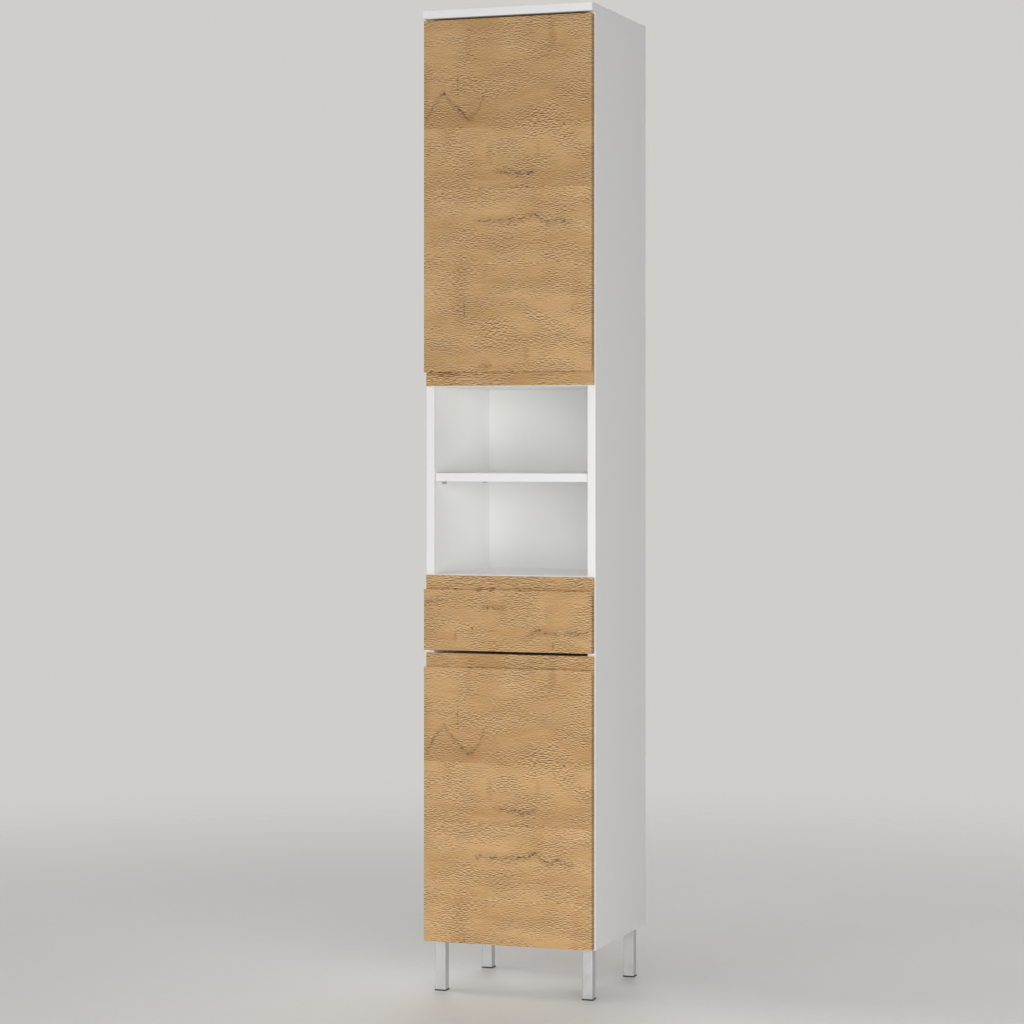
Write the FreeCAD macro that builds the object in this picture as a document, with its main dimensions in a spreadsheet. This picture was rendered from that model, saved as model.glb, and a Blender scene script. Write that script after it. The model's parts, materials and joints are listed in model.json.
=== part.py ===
# Tall bathroom cabinet: white melamine carcass on four square legs, an oak-faced door above and
# below, a drawer, and an open compartment with one shelf between the drawer and the upper door.
# Millimetres. X runs to the right, Y to the back, Z up; the floor is Z = 0 and the centre of the
# footprint is X = Y = 0. The doors hang on the left and every front has a finger grip in its face.
import FreeCAD, Part
import os
import re
import Sketcher

SIZES = {
    # whole cabinet
    "width": 340,
    "depth": 340,
    "height": 1873,
    "board": 16,
    "top_overhang": 20,
    "leg_height": 98,
    "edge_bevel": 0.6,
    # thin back panel, housed in grooves
    "back_board": 3,
    "back_inset": 10,
    "back_play": 0.15,
    "groove_depth": 6,
    # fronts
    "front_board": 16,
    "front_gap": 2,
    "front_reveal": 2,
    "level_reveal": 2,
    "top_gap": 4,
    "front_spacing": 6,
    "lower_door_height": 549,
    "drawer_front_height": 142,
    "open_height": 357,
    "divider_drop": 1,
    # finger grip: a rebate in the face, with a groove behind the lip
    "grip_height": 26,
    "grip_strip": 4,
    "grip_lip": 5,
    "grip_groove_depth": 10,
    "lip_round": 1.2,
    # shelves
    "shelf_play": 1,
    "open_shelf_rise": 176.6,
    "open_shelf_setback": 5,
    "shelf_setback": 26,
    "shelf_low_rise": 224,
    "shelf_high_drop": 219,
    "lower_shelf_rise": 256,
    "pin_radius": 2.45,
    "pin_hole_radius": 2.5,
    "pin_hole_depth": 9,
    "pin_reach": 8,
    "pin_end_play": 0.5,
    "pin_from_front": 45,
    "pin_from_rear": 40,
    # legs
    "leg_size": 20,
    "leg_wall": 1.5,
    "leg_bevel": 1,
    "leg_side_inset": 12,
    "leg_front_inset": 17.5,
    "leg_back_inset": 23,
    "leg_plate": 2,
    "leg_plate_size": 42,
    "glide_size": 22,
    "glide_height": 2.5,
    "glide_plug": 12,
    "glide_play": 0.2,
    # hinges: a cup in the door, a pin through it, and an arm on a plate on the side panel
    "hinge_from_end": 100,
    "cup_radius": 17.5,
    "cup_depth": 13,
    "cup_floor": 0.5,
    "cup_wall": 0.6,
    "cup_edge": 3,
    "cup_bore_radius": 17.6,
    "cup_bore_depth": 13.1,
    "cup_flange": 1,
    "cup_flange_height": 60,
    "cup_flange_width": 13,
    "cup_wing_offset": 6,
    "cup_slot_width": 8.8,
    "cup_slot_right": 9,
    "pin_eye_radius": 2,
    "pin_eye_side_play": 0.15,
    "pin_eye_floor_play": 0.3,
    "hinge_pin_radius": 1,
    "hinge_pin_length": 18,
    "hinge_eye_bore": 1.1,
    "hinge_seat_play": 0.02,
    "arm_width": 8,
    "arm_sheet": 1.6,
    "arm_stand_off": 4.8,
    "arm_channel_front": 6,
    "arm_channel_rear": 62,
    "arm_channel_width": 14,
    "arm_channel_height": 11,
    "arm_channel_lift": 2.8,
    "plate_line": 37,
    "plate_sheet": 2.4,
    "plate_length": 48,
    "plate_width": 16,
    "plate_block_front": 14,
    "plate_block_rear": 58,
    "plate_block_width": 10.4,
    "plate_block_height": 9.2,
    # drawer
    "drawer_board": 16,
    "drawer_side_height": 90,
    "drawer_back_gap": 14,
    "drawer_rise": 9,
    "drawer_bottom_board": 3,
    "drawer_bottom_rise": 8,
    "drawer_bottom_play": 0.15,
    "drawer_back_drop": 8,
    # roller runners
    "runner_gap": 12.5,
    "runner_sheet": 1.2,
    "runner_setback": 3,
    "runner_flange": 10.3,
    "runner_rise": 14.2,
    "runner_height": 36,
    "runner_channel": 18.7,
    "drawer_rail_height": 23.2,
    "drawer_rail_reach": 9.6,
    "roller_radius": 8.5,
    "roller_width": 6.6,
    "roller_play": 0.1,
    "roller_from_end": 12,
    "roller_side_play": 0.8,
    "axle_radius": 2.5,
    "axle_bore_radius": 2.6,
    "roller_cut": 26,
    "rail_flange": 12,
    # bracket that ties the cabinet to a wall
    "bracket_width": 40,
    "bracket_leg": 30,
    "bracket_sheet": 2,
    "bracket_hole_radius": 3,
    "bracket_hole_drop": 18,
    "back_hole_radius": 4,
    "bracket_play": 0.1,
}

# places worked out from the sizes above
DERIVED = {
    "half": "width / 2",
    "inner_half": "width / 2 - board",
    "carcass_front": "top_overhang - depth / 2",
    "carcass_back": "depth / 2",
    "under_top": "height - board",
    "back_front": "carcass_back - back_inset - back_board",
    "panel_rear": "back_front - back_play",
    "groove_rear": "back_front + back_board + back_play",
    "front_rear": "carcass_front - front_gap",
    "front_face": "front_rear - front_board",
    "front_half": "half - front_reveal",
    "lower_door_bottom": "leg_height + level_reveal",
    "lower_door_top": "lower_door_bottom + lower_door_height",
    "drawer_front_bottom": "lower_door_top + front_spacing",
    "drawer_front_top": "drawer_front_bottom + drawer_front_height",
    "divider_bottom": "lower_door_top - divider_drop - board",
    "open_floor_bottom": "drawer_front_top + level_reveal - board",
    "open_roof_bottom": "open_floor_bottom + board + open_height",
    "upper_door_bottom": "open_roof_bottom + level_reveal",
    "upper_door_top": "under_top - top_gap",
    "bottom_top": "leg_height + board",
    "open_shelf_bottom": "open_floor_bottom + board + open_shelf_rise",
    "low_shelf_bottom": "open_roof_bottom + board + shelf_low_rise",
    "high_shelf_bottom": "under_top - shelf_high_drop - board",
    "lower_shelf_bottom": "bottom_top + lower_shelf_rise",
    "pin_front": "carcass_front + pin_from_front",
    "pin_rear": "panel_rear - pin_from_rear",
    "cup_x": "cup_edge + cup_radius - front_half",
    "cup_slot_left": "sqrt((cup_radius - cup_wall) ^ 2 - (cup_slot_width / 2) ^ 2)",
    "hinge_x": "cup_x - cup_slot_left + pin_eye_side_play + pin_eye_radius",
    "hinge_y": "front_rear - cup_depth + cup_floor + pin_eye_floor_play + pin_eye_radius",
    "upper_hinge_low": "upper_door_bottom + hinge_from_end",
    "upper_hinge_high": "upper_door_top - hinge_from_end",
    "lower_hinge_low": "lower_door_bottom + hinge_from_end",
    "lower_hinge_high": "lower_door_top - hinge_from_end",
    "plate_y": "carcass_front + plate_line",
    "drawer_half": "inner_half - runner_gap",
    "drawer_inner": "drawer_half - drawer_board",
    "drawer_base": "drawer_front_bottom + drawer_rise",
    "drawer_rear": "panel_rear - drawer_back_gap",
    "drawer_floor": "drawer_base + drawer_bottom_rise",
    "runner_base": "divider_bottom + board + runner_rise",
    "runner_front": "carcass_front + runner_setback",
    "runner_length": "drawer_rear - runner_front",
    "front_roller_y": "runner_front + roller_from_end",
    "rear_roller_y": "drawer_rear - roller_from_end",
    "rail_top": "drawer_base - runner_sheet + drawer_rail_height",
    "front_roller_z": "rail_top - runner_sheet - roller_play - roller_radius",
    "rear_roller_z": "runner_base + runner_sheet + roller_play + roller_radius",
    "bracket_hole_z": "under_top - bracket_hole_drop",
}

PLANES = {"top": "XY_Plane", "front": "XZ_Plane", "side": "YZ_Plane"}
NODES = []

doc = FreeCAD.newDocument("tall_bathroom_cabinet")
sheet = doc.addObject("Spreadsheet::Sheet", "sizes")
for row, (name, size) in enumerate(SIZES.items(), start=1):
    sheet.set("A%d" % row, name)
    sheet.set("B%d" % row, str(size))
    sheet.setAlias("B%d" % row, name)
doc.recompute()


# ---------------------------------------------------------------- expressions and placement

def ex(text):
    """An expression in the sheet's cells, with the derived places written out."""
    def expand(match):
        word = match.group(0)
        if word in DERIVED:
            return "(%s)" % ex(DERIVED[word])
        if word in SIZES:
            return "sizes.%s" % word
        return word
    return re.sub(r"[a-z_]+[a-z_0-9]*", expand, text)


def value(text):
    return float(sheet.evalExpression(ex(text)))


def bind(thing, **sizes):
    for name, text in sizes.items():
        thing.setExpression(name, ex(text))
    return thing


def place(thing, x="0", y="0", z="0"):
    for axis, text in (("x", x), ("y", y), ("z", z)):
        thing.setExpression("Placement.Base.%s" % axis, ex(text))
    return thing


def node(thing, label):
    """Name a finished sub-part and put it on the list of those written out."""
    thing.Label = label
    NODES.append(thing)
    return thing


# ---------------------------------------------------------------- sketches

def polygon(sketch, points, arcs=None):
    """A closed outline. Every corner is bound to the sheet; arcs maps a segment to its centre."""
    arcs = arcs or {}
    first = sketch.GeometryCount
    spots = [FreeCAD.Vector(value(x), value(y), 0) for x, y in points]
    count = len(points)
    for k, start in enumerate(spots):
        end = spots[(k + 1) % count]
        if k in arcs:
            centre = FreeCAD.Vector(value(arcs[k][0]), value(arcs[k][1]), 0)
            ring = Part.Circle(centre, FreeCAD.Vector(0, 0, 1), start.distanceToPoint(centre))
            sketch.addGeometry(Part.ArcOfCircle(ring, ring.parameter(start), ring.parameter(end)), False)
        else:
            sketch.addGeometry(Part.LineSegment(start, end), False)
    for k in range(count):
        sketch.addConstraint(Sketcher.Constraint("Coincident", first + k, 2, first + (k + 1) % count, 1))
    for k, (x, y) in enumerate(points):
        fix_point(sketch, first + k, 1, x, y)
    for k, (_, y) in arcs.items():
        number = sketch.addConstraint(Sketcher.Constraint("DistanceY", -1, 1, first + k, 3, value(y)))
        sketch.setExpression("Constraints[%d]" % number, ex(y))


def fix_point(sketch, element, point, x, y):
    for kind, text in (("DistanceX", x), ("DistanceY", y)):
        number = sketch.addConstraint(Sketcher.Constraint(kind, -1, 1, element, point, value(text)))
        sketch.setExpression("Constraints[%d]" % number, ex(text))


def rectangle(sketch, x0, x1, y0, y1):
    polygon(sketch, [(x0, y0), (x1, y0), (x1, y1), (x0, y1)])


def circle(sketch, x, y, radius):
    centre = FreeCAD.Vector(value(x), value(y), 0)
    element = sketch.addGeometry(Part.Circle(centre, FreeCAD.Vector(0, 0, 1), value(radius)), False)
    number = sketch.addConstraint(Sketcher.Constraint("Radius", element, value(radius)))
    sketch.setExpression("Constraints[%d]" % number, ex(radius))
    fix_point(sketch, element, 3, x, y)


def sketch_on(body, plane, level, *loops):
    """A sketch on a plane of the body at a level along X, Y or Z, with its loops drawn in turn.

    The top plane draws X, Y and faces up; the front plane draws X, Z and faces -Y; the side plane
    draws Y, Z and faces +X.
    """
    sketch = body.newObject("Sketcher::SketchObject", "outline")
    origin = next(f for f in body.Origin.OriginFeatures if f.Role == PLANES[plane])
    sketch.AttachmentSupport = [(origin, "")]
    sketch.MapMode = "FlatFace"
    offset = "-(%s)" % level if plane == "front" else level
    sketch.setExpression("AttachmentOffset.Base.z", ex(offset))
    for draw, *sizes in loops:
        draw(sketch, *sizes)
    return sketch


# ---------------------------------------------------------------- solid features

def new_body(name):
    return doc.addObject("PartDesign::Body", name)


def pad(body, sketch, length, back=False, middle=False):
    feature = body.newObject("PartDesign::Pad", "pad")
    feature.Profile = sketch
    feature.Reversed = back
    feature.Midplane = middle
    return bind(feature, Length=length)


def pocket(body, sketch, depth, back=False, middle=False):
    """Cut against the way the sketch faces, or with it when back is true."""
    feature = body.newObject("PartDesign::Pocket", "pocket")
    feature.Profile = sketch
    feature.Reversed = back
    feature.Midplane = middle
    return bind(feature, Length=depth)


def soften(body, size, chosen, kind="Fillet"):
    """Round or chamfer the edges of the body that the test picks."""
    doc.recompute()
    base = body.Tip
    names = ["Edge%d" % (k + 1) for k, edge in enumerate(base.Shape.Edges) if chosen(edge)]
    feature = body.newObject("PartDesign::%s" % kind, kind.lower())
    feature.Base = (base, names)
    return bind(feature, **{"Radius" if kind == "Fillet" else "Size": size})


def runs(edge, axis):
    """True for a straight edge along the axis."""
    ends = [v.Point for v in edge.Vertexes]
    if len(ends) != 2:
        return False
    way = ends[1] - ends[0]
    return abs(abs(way[axis]) - edge.Length) < 1e-6


def at(edge, axis, text):
    return abs(edge.BoundBox.Center[axis] - value(text)) < 1e-4


# ---------------------------------------------------------------- repeated pieces

LEFTWARDS = FreeCAD.Rotation(FreeCAD.Vector(0, 1, 0), -90)
RIGHTWARDS = FreeCAD.Rotation(FreeCAD.Vector(0, 1, 0), 90)
UPWARDS = FreeCAD.Rotation()


def peg(turn, radius, length, x, y, z):
    """A plain round peg that starts at the place given and points the way it is turned."""
    post = doc.addObject("Part::Cylinder", "peg")
    post.Placement = FreeCAD.Placement(FreeCAD.Vector(0, 0, 0), turn)
    bind(post, Radius=radius, Height=length)
    return place(post, x, y, z)


def copy_of(source, x="0", y="0", z="0"):
    link = doc.addObject("App::Link", "copy")
    link.LinkedObject = source
    return place(link, x, y, z)


def group(label, pieces):
    compound = doc.addObject("Part::Compound", label)
    compound.Links = pieces
    return node(compound, label)


def mirrored(source, label):
    """The same piece for the other side of the cabinet."""
    mirror = doc.addObject("Part::Mirroring", label)
    mirror.Source = source
    mirror.Normal = (1, 0, 0)
    return node(mirror, label)


# ---------------------------------------------------------------- carcass boards

OPEN_SHELVES = ("open_shelf_bottom",)
CUPBOARD_SHELVES = ("low_shelf_bottom", "high_shelf_bottom", "lower_shelf_bottom")


def signed(side, text):
    """The expression on the left (-1) or the right (+1) of the cabinet."""
    return "%d * (%s)" % (side, text)


def side_panel(label, side):
    body = new_body(label)
    face = signed(side, "inner_half")
    outline = (rectangle, "carcass_front", "carcass_back", "leg_height", "under_top")
    pad(body, sketch_on(body, "side", face, outline), "board", back=side < 0)
    groove = (rectangle, face, signed(side, "inner_half + groove_depth"), "panel_rear", "groove_rear")
    pocket(body, sketch_on(body, "top", "under_top", groove), "under_top - leg_height")

    pins = [(circle, y, "%s - pin_radius" % shelf, "pin_hole_radius")
            for shelf in OPEN_SHELVES + CUPBOARD_SHELVES for y in ("pin_front", "pin_rear")]
    pocket(body, sketch_on(body, "side", face, *pins), "pin_hole_depth", back=side > 0)
    soften(body, "edge_bevel", lambda edge: runs(edge, 2) and at(edge, 1, "carcass_front"), "Chamfer")
    return node(body, label)


def fixed_panel(label, level):
    """A board between the side panels, from the front of the carcass to its back."""
    body = new_body(label)
    outline = (rectangle, "-inner_half", "inner_half", "carcass_front", "panel_rear")
    pad(body, sketch_on(body, "top", level, outline), "board")
    bevel_front(body, "carcass_front")
    return node(body, label)


def bevel_front(body, front):
    """The thin edging's worn corner, along the front of a board that lies flat."""
    soften(body, "edge_bevel", lambda edge: runs(edge, 0) and at(edge, 1, front), "Chamfer")


def top_panel():
    body = new_body("top_panel")
    outline = (rectangle, "-half", "half", "-depth / 2", "depth / 2")
    pad(body, sketch_on(body, "top", "under_top", outline), "board")
    groove = (rectangle, "-inner_half - groove_depth", "inner_half + groove_depth",
              "panel_rear", "groove_rear")
    pocket(body, sketch_on(body, "top", "under_top", groove), "groove_depth", back=True)
    bevel_front(body, "-depth / 2")
    return node(body, "top_panel")


def loose_shelf(label, level, setback):
    """A shelf that lies on four pins."""
    body = new_body(label)
    outline = (rectangle, "shelf_play - inner_half", "inner_half - shelf_play",
               "carcass_front + %s" % setback, "panel_rear - shelf_play")
    pad(body, sketch_on(body, "top", level, outline), "board")
    bevel_front(body, "carcass_front + %s" % setback)
    return node(body, label)


def back_panel():
    body = new_body("back_panel")
    outline = (rectangle, "back_play - inner_half - groove_depth", "inner_half + groove_depth - back_play",
               "leg_height", "under_top + groove_depth - back_play")
    pad(body, sketch_on(body, "front", "back_front + back_board", outline), "back_board")
    hole = (circle, "0", "bracket_hole_z", "back_hole_radius")
    pocket(body, sketch_on(body, "front", "back_front", hole), "back_board")
    return node(body, "back_panel")


# ---------------------------------------------------------------- fittings of the carcass

def shelf_pins(label, shelves):
    """Steel pegs, half in the side panels and half under the shelves."""
    length = "pin_reach + pin_hole_depth - pin_end_play"
    end = "inner_half + pin_hole_depth - pin_end_play"
    group(label, [peg(turn, "pin_radius", length, signed(side, end), y, "%s - pin_radius" % shelf)
                  for shelf in shelves
                  for side, turn in ((-1, RIGHTWARDS), (1, LEFTWARDS))
                  for y in ("pin_front", "pin_rear")])


def wall_bracket():
    body = new_body("wall_bracket")
    rear = "back_front - bracket_play"
    angle = [(rear, "under_top - bracket_leg"),
             (rear, "under_top"),
             ("%s - bracket_leg" % rear, "under_top"),
             ("%s - bracket_leg" % rear, "under_top - bracket_sheet"),
             ("%s - bracket_sheet" % rear, "under_top - bracket_sheet"),
             ("%s - bracket_sheet" % rear, "under_top - bracket_leg")]
    pad(body, sketch_on(body, "side", "0", (polygon, angle)), "bracket_width", middle=True)
    wall_hole = (circle, "0", "bracket_hole_z", "bracket_hole_radius")
    pocket(body, sketch_on(body, "front", "back_front - bracket_leg / 2", wall_hole), "bracket_leg")
    return node(body, "wall_bracket")


# ---------------------------------------------------------------- legs

# side of the cabinet (-1 left, 1 right) and end of it (-1 front, 1 back)
LEGS = {
    "leg_front_left": (-1, -1),
    "leg_front_right": (1, -1),
    "leg_back_left": (-1, 1),
    "leg_back_right": (1, 1),
}


def from_leg_corner(side, end, inward, along):
    """A point measured from a leg's outer corner towards the middle of the cabinet."""
    x = signed(side, "half - leg_side_inset - %s" % inward)
    if end < 0:
        return x, "carcass_front + leg_front_inset + %s" % along
    return x, "carcass_back - leg_back_inset - %s" % along


def leg_square(side, end, near, far):
    x0, y0 = from_leg_corner(side, end, near, near)
    x1, y1 = from_leg_corner(side, end, far, far)
    return (rectangle, x0, x1, y0, y1)


def leg(label, side, end):
    """A square tube under the plate that holds it to the bottom panel."""
    body = new_body(label)
    tube = sketch_on(body, "top", "glide_height", leg_square(side, end, "0", "leg_size"),
                     leg_square(side, end, "leg_wall", "(leg_size - leg_wall)"))
    pad(body, tube, "leg_height - leg_plate - glide_height")
    rim = [from_leg_corner(side, end, a, b) for a in ("0", "leg_size") for b in ("0", "leg_size")]
    soften(body, "leg_bevel",
           lambda edge: runs(edge, 2) and any(at(edge, 0, x) and at(edge, 1, y) for x, y in rim), "Chamfer")
    plate = sketch_on(body, "top", "leg_height - leg_plate", leg_square(side, end, "0", "leg_plate_size"))
    pad(body, plate, "leg_plate")
    return node(body, label)


def glide():
    """Plastic foot: a pad on the floor and a plug up the leg's tube."""
    body = new_body("glide")
    foot = (rectangle, "-glide_size / 2", "glide_size / 2", "-glide_size / 2", "glide_size / 2")
    pad(body, sketch_on(body, "top", "0", foot), "glide_height")
    soften(body, "edge_bevel", lambda edge: at(edge, 2, "0"), "Chamfer")
    plug = "(leg_size / 2 - leg_wall - glide_play)"
    peg = (rectangle, "-%s" % plug, plug, "-%s" % plug, plug)
    pad(body, sketch_on(body, "top", "glide_height", peg), "glide_plug")
    return body


def legs_and_glides():
    for label, (side, end) in LEGS.items():
        leg(label, side, end)
    foot = glide()
    group("leg_glides", [copy_of(foot, *from_leg_corner(side, end, "leg_size / 2", "leg_size / 2"))
                         for side, end in LEGS.values()])


# ---------------------------------------------------------------- fronts

HINGES = {
    "upper": ("upper_hinge_low", "upper_hinge_high"),
    "lower": ("lower_hinge_low", "lower_hinge_high"),
}


def front_board(label, bottom, top, grip_on_top):
    """A front whose finger grip is a stepped edge with a round-bottomed groove behind its lip."""
    body = new_body(label)
    strip = "front_rear - grip_strip"
    lip = "front_face + grip_lip"
    middle = "(%s + %s) / 2" % (strip, lip)
    radius = "((%s) - (%s)) / 2" % (strip, lip)
    if grip_on_top:
        step = "%s - grip_height" % top
        centre = "%s - grip_groove_depth + %s" % (step, radius)
        outline = [("front_face", step), (lip, step), (lip, centre), (strip, centre), (strip, top),
                   ("front_rear", top), ("front_rear", bottom), ("front_face", bottom)]
        arc = 2
    else:
        step = "%s + grip_height" % bottom
        centre = "%s + grip_groove_depth - %s" % (step, radius)
        outline = [(strip, bottom), (strip, centre), (lip, centre), (lip, step), ("front_face", step),
                   ("front_face", top), ("front_rear", top), ("front_rear", bottom)]
        arc = 1
    section = sketch_on(body, "side", "0", (polygon, outline, {arc: (middle, centre)}))
    pad(body, section, "2 * front_half", middle=True)
    soften(body, "lip_round", lambda edge: runs(edge, 0) and at(edge, 2, step)
           and (at(edge, 1, lip) or at(edge, 1, "front_face")))
    return body


def door(label, bottom, top, grip_on_top, hinges):
    body = front_board(label, bottom, top, grip_on_top)
    cups = [(circle, "cup_x", z, "cup_bore_radius") for z in hinges]
    pocket(body, sketch_on(body, "front", "front_rear", *cups), "cup_bore_depth", back=True)
    return node(body, label)


# ---------------------------------------------------------------- hinges, modelled at Z = 0

def hinge_cup():
    """Cast cup: wings on the door's back, a deep slot for the arm, and a square-cored seat for the pin."""
    body = new_body("hinge_cup")
    barrel = (circle, "cup_x", "0", "cup_radius")
    pad(body, sketch_on(body, "front", "front_rear + cup_flange", barrel), "cup_depth + cup_flange")
    wing = "cup_x + cup_wing_offset"
    wings = (rectangle, "%s - cup_flange_width / 2" % wing, "%s + cup_flange_width / 2" % wing,
             "-cup_flange_height / 2", "cup_flange_height / 2")
    pad(body, sketch_on(body, "front", "front_rear", wings), "cup_flange", back=True)
    slot = (rectangle, "cup_x - cup_slot_left", "cup_x + cup_slot_right",
            "-cup_slot_width / 2", "cup_slot_width / 2")
    pocket(body, sketch_on(body, "front", "front_rear + cup_flange", slot),
           "cup_flange + cup_depth - cup_floor", back=True)
    room = "(hinge_pin_radius + hinge_seat_play)"
    seat = (rectangle, "hinge_x - %s" % room, "hinge_x + %s" % room,
            "hinge_y - %s" % room, "hinge_y + %s" % room)
    pocket(body, sketch_on(body, "top", "0", seat), "2 * cup_radius", middle=True)
    return body


def hinge_arm():
    """Pressed arm: an eye on the pin, a hook out of the cup, and a channel over the plate."""
    body = new_body("hinge_arm")
    eye = (circle, "hinge_x", "hinge_y", "pin_eye_radius")
    pad(body, sketch_on(body, "top", "0", eye), "arm_width", middle=True)
    low = "hinge_y - pin_eye_radius"
    near = "arm_stand_off - inner_half"
    far = "%s + arm_sheet" % near
    inside = "carcass_front + arm_channel_front + arm_sheet"
    hook = [("hinge_x", low), (far, low), (far, inside), (near, inside),
            (near, "%s + arm_sheet" % low), ("hinge_x", "%s + arm_sheet" % low)]
    pad(body, sketch_on(body, "top", "0", (polygon, hook)), "arm_width", middle=True)
    soften(body, "arm_sheet / 2",
           lambda edge: runs(edge, 2) and at(edge, 0, far) and at(edge, 1, low), "Chamfer")
    foot = "arm_channel_lift - inner_half"
    web = "arm_channel_height - inner_half"
    wide = "arm_channel_width / 2"
    slim = "arm_channel_width / 2 - arm_sheet"
    inner = "%s - arm_sheet" % web
    channel = [(foot, "-%s" % wide), (web, "-%s" % wide), (web, wide), (foot, wide),
               (foot, slim), (inner, slim), (inner, "-(%s)" % slim), (foot, "-(%s)" % slim)]
    front = "carcass_front + arm_channel_front"
    length = "arm_channel_rear - arm_channel_front"
    pad(body, sketch_on(body, "front", front, (polygon, channel)), length, back=True)
    end = (rectangle, foot, web, "-%s" % wide, wide)
    pad(body, sketch_on(body, "front", front, end), "arm_sheet", back=True)
    bore = (circle, "hinge_x", "hinge_y", "hinge_eye_bore")
    pocket(body, sketch_on(body, "top", "0", bore), "2 * arm_width", middle=True)
    return body


def hinge_plate():
    """Mounting plate: wings screwed to the side panel and a block inside the arm's channel."""
    body = new_body("hinge_plate")
    wings = (rectangle, "plate_y - plate_width / 2", "plate_y + plate_width / 2",
             "-plate_length / 2", "plate_length / 2")
    pad(body, sketch_on(body, "side", "-inner_half", wings), "plate_sheet")
    block = (rectangle, "carcass_front + plate_block_front", "carcass_front + plate_block_rear",
             "-plate_block_width / 2", "plate_block_width / 2")
    pad(body, sketch_on(body, "side", "-inner_half", block), "plate_block_height")
    return body


def hinges():
    cup = hinge_cup()
    arm = hinge_arm()
    plate = hinge_plate()
    for name, levels in HINGES.items():
        group("%s_hinge_cups" % name, [copy_of(cup, z=z) for z in levels])
        group("%s_hinge_pins" % name, [
            peg(UPWARDS, "hinge_pin_radius", "hinge_pin_length", "hinge_x", "hinge_y",
                "%s - hinge_pin_length / 2" % z) for z in levels])
        group("%s_hinge_arms" % name, [copy_of(arm, z=z) for z in levels])
        group("%s_hinge_plates" % name, [copy_of(plate, z=z) for z in levels])


# ---------------------------------------------------------------- drawer

def drawer_front():
    body = front_board("drawer_front", "drawer_front_bottom", "drawer_front_top", grip_on_top=True)
    groove = (rectangle, "-drawer_inner - groove_depth", "drawer_inner + groove_depth",
              "drawer_floor - drawer_bottom_play", "drawer_floor + drawer_bottom_board + drawer_bottom_play")
    pocket(body, sketch_on(body, "front", "front_rear", groove), "groove_depth", back=True)
    return node(body, "drawer_front")


def drawer_side():
    """The right side of the drawer box."""
    body = new_body("drawer_side_right")
    outline = (rectangle, "front_rear", "drawer_rear", "drawer_base", "drawer_base + drawer_side_height")
    pad(body, sketch_on(body, "side", "drawer_inner", outline), "drawer_board")
    groove = (rectangle, "front_rear", "drawer_rear - drawer_board + groove_depth",
              "drawer_floor - drawer_bottom_play", "drawer_floor + drawer_bottom_board + drawer_bottom_play")
    pocket(body, sketch_on(body, "side", "drawer_inner", groove), "groove_depth", back=True)
    return node(body, "drawer_side_right")


def drawer_back():
    body = new_body("drawer_back")
    outline = (rectangle, "-drawer_inner", "drawer_inner", "drawer_base",
               "drawer_base + drawer_side_height - drawer_back_drop")
    pad(body, sketch_on(body, "front", "drawer_rear", outline), "drawer_board")
    groove = (rectangle, "-drawer_inner", "drawer_inner", "drawer_floor - drawer_bottom_play",
              "drawer_floor + drawer_bottom_board + drawer_bottom_play")
    pocket(body, sketch_on(body, "front", "drawer_rear - drawer_board", groove), "groove_depth")
    return node(body, "drawer_back")


def drawer_bottom():
    body = new_body("drawer_bottom")
    edge = "(drawer_inner + groove_depth - back_play)"
    outline = (rectangle, "-%s" % edge, edge, "front_rear - groove_depth + back_play",
               "drawer_rear - drawer_board + groove_depth - back_play")
    pad(body, sketch_on(body, "top", "drawer_floor", outline), "drawer_bottom_board")
    return node(body, "drawer_bottom")


# ---------------------------------------------------------------- roller runners, right side

def axle(body, x, y, z, inward):
    """A stub axle on a rail's web, just longer than the roller that turns on it."""
    stub = "2 * roller_side_play + roller_width"
    pad(body, sketch_on(body, "side", x, (circle, y, z, "axle_radius")), stub, back=inward)


def cabinet_rail():
    body = new_body("cabinet_rail_right")
    web = "inner_half - runner_sheet"
    edge = "inner_half - runner_flange"
    top = "runner_base + runner_height"
    section = [(edge, "runner_base"), ("inner_half", "runner_base"), ("inner_half", top), (web, top),
               (web, "runner_base + runner_sheet"), (edge, "runner_base + runner_sheet")]
    pad(body, sketch_on(body, "front", "runner_front", (polygon, section)), "runner_length", back=True)
    level = "runner_base + runner_channel"
    keeper = (rectangle, edge, "inner_half - runner_sheet / 2", level, "%s + runner_sheet" % level)
    start = "runner_front + roller_cut"
    pad(body, sketch_on(body, "front", start, keeper), "runner_length - roller_cut", back=True)
    axle(body, web, "front_roller_y", "front_roller_z", inward=True)
    return node(body, "cabinet_rail_right")


def drawer_rail():
    body = new_body("drawer_rail_right")
    web = "drawer_half + runner_sheet"
    reach = "drawer_half + drawer_rail_reach"
    base = "drawer_base - runner_sheet"
    section = [("drawer_half - rail_flange", base), (web, base), (web, "rail_top - runner_sheet"),
               (reach, "rail_top - runner_sheet"), (reach, "rail_top"), ("drawer_half", "rail_top"),
               ("drawer_half", "drawer_base"), ("drawer_half - rail_flange", "drawer_base")]
    pad(body, sketch_on(body, "front", "runner_front", (polygon, section)), "runner_length", back=True)
    axle(body, web, "rear_roller_y", "rear_roller_z", inward=False)
    return node(body, "drawer_rail_right")


def roller(label, x, y, z):
    body = new_body(label)
    ring = [(circle, y, z, "roller_radius"), (circle, y, z, "axle_bore_radius")]
    pad(body, sketch_on(body, "side", x, *ring), "roller_width")
    return node(body, label)


def runners():
    mirrored(cabinet_rail(), "cabinet_rail_left")
    mirrored(drawer_rail(), "drawer_rail_left")
    front = "inner_half - runner_sheet - roller_side_play - roller_width"
    mirrored(roller("front_roller_right", front, "front_roller_y", "front_roller_z"), "front_roller_left")
    rear = "drawer_half + runner_sheet + roller_side_play"
    mirrored(roller("rear_roller_right", rear, "rear_roller_y", "rear_roller_z"), "rear_roller_left")


# ---------------------------------------------------------------- the cabinet

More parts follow.
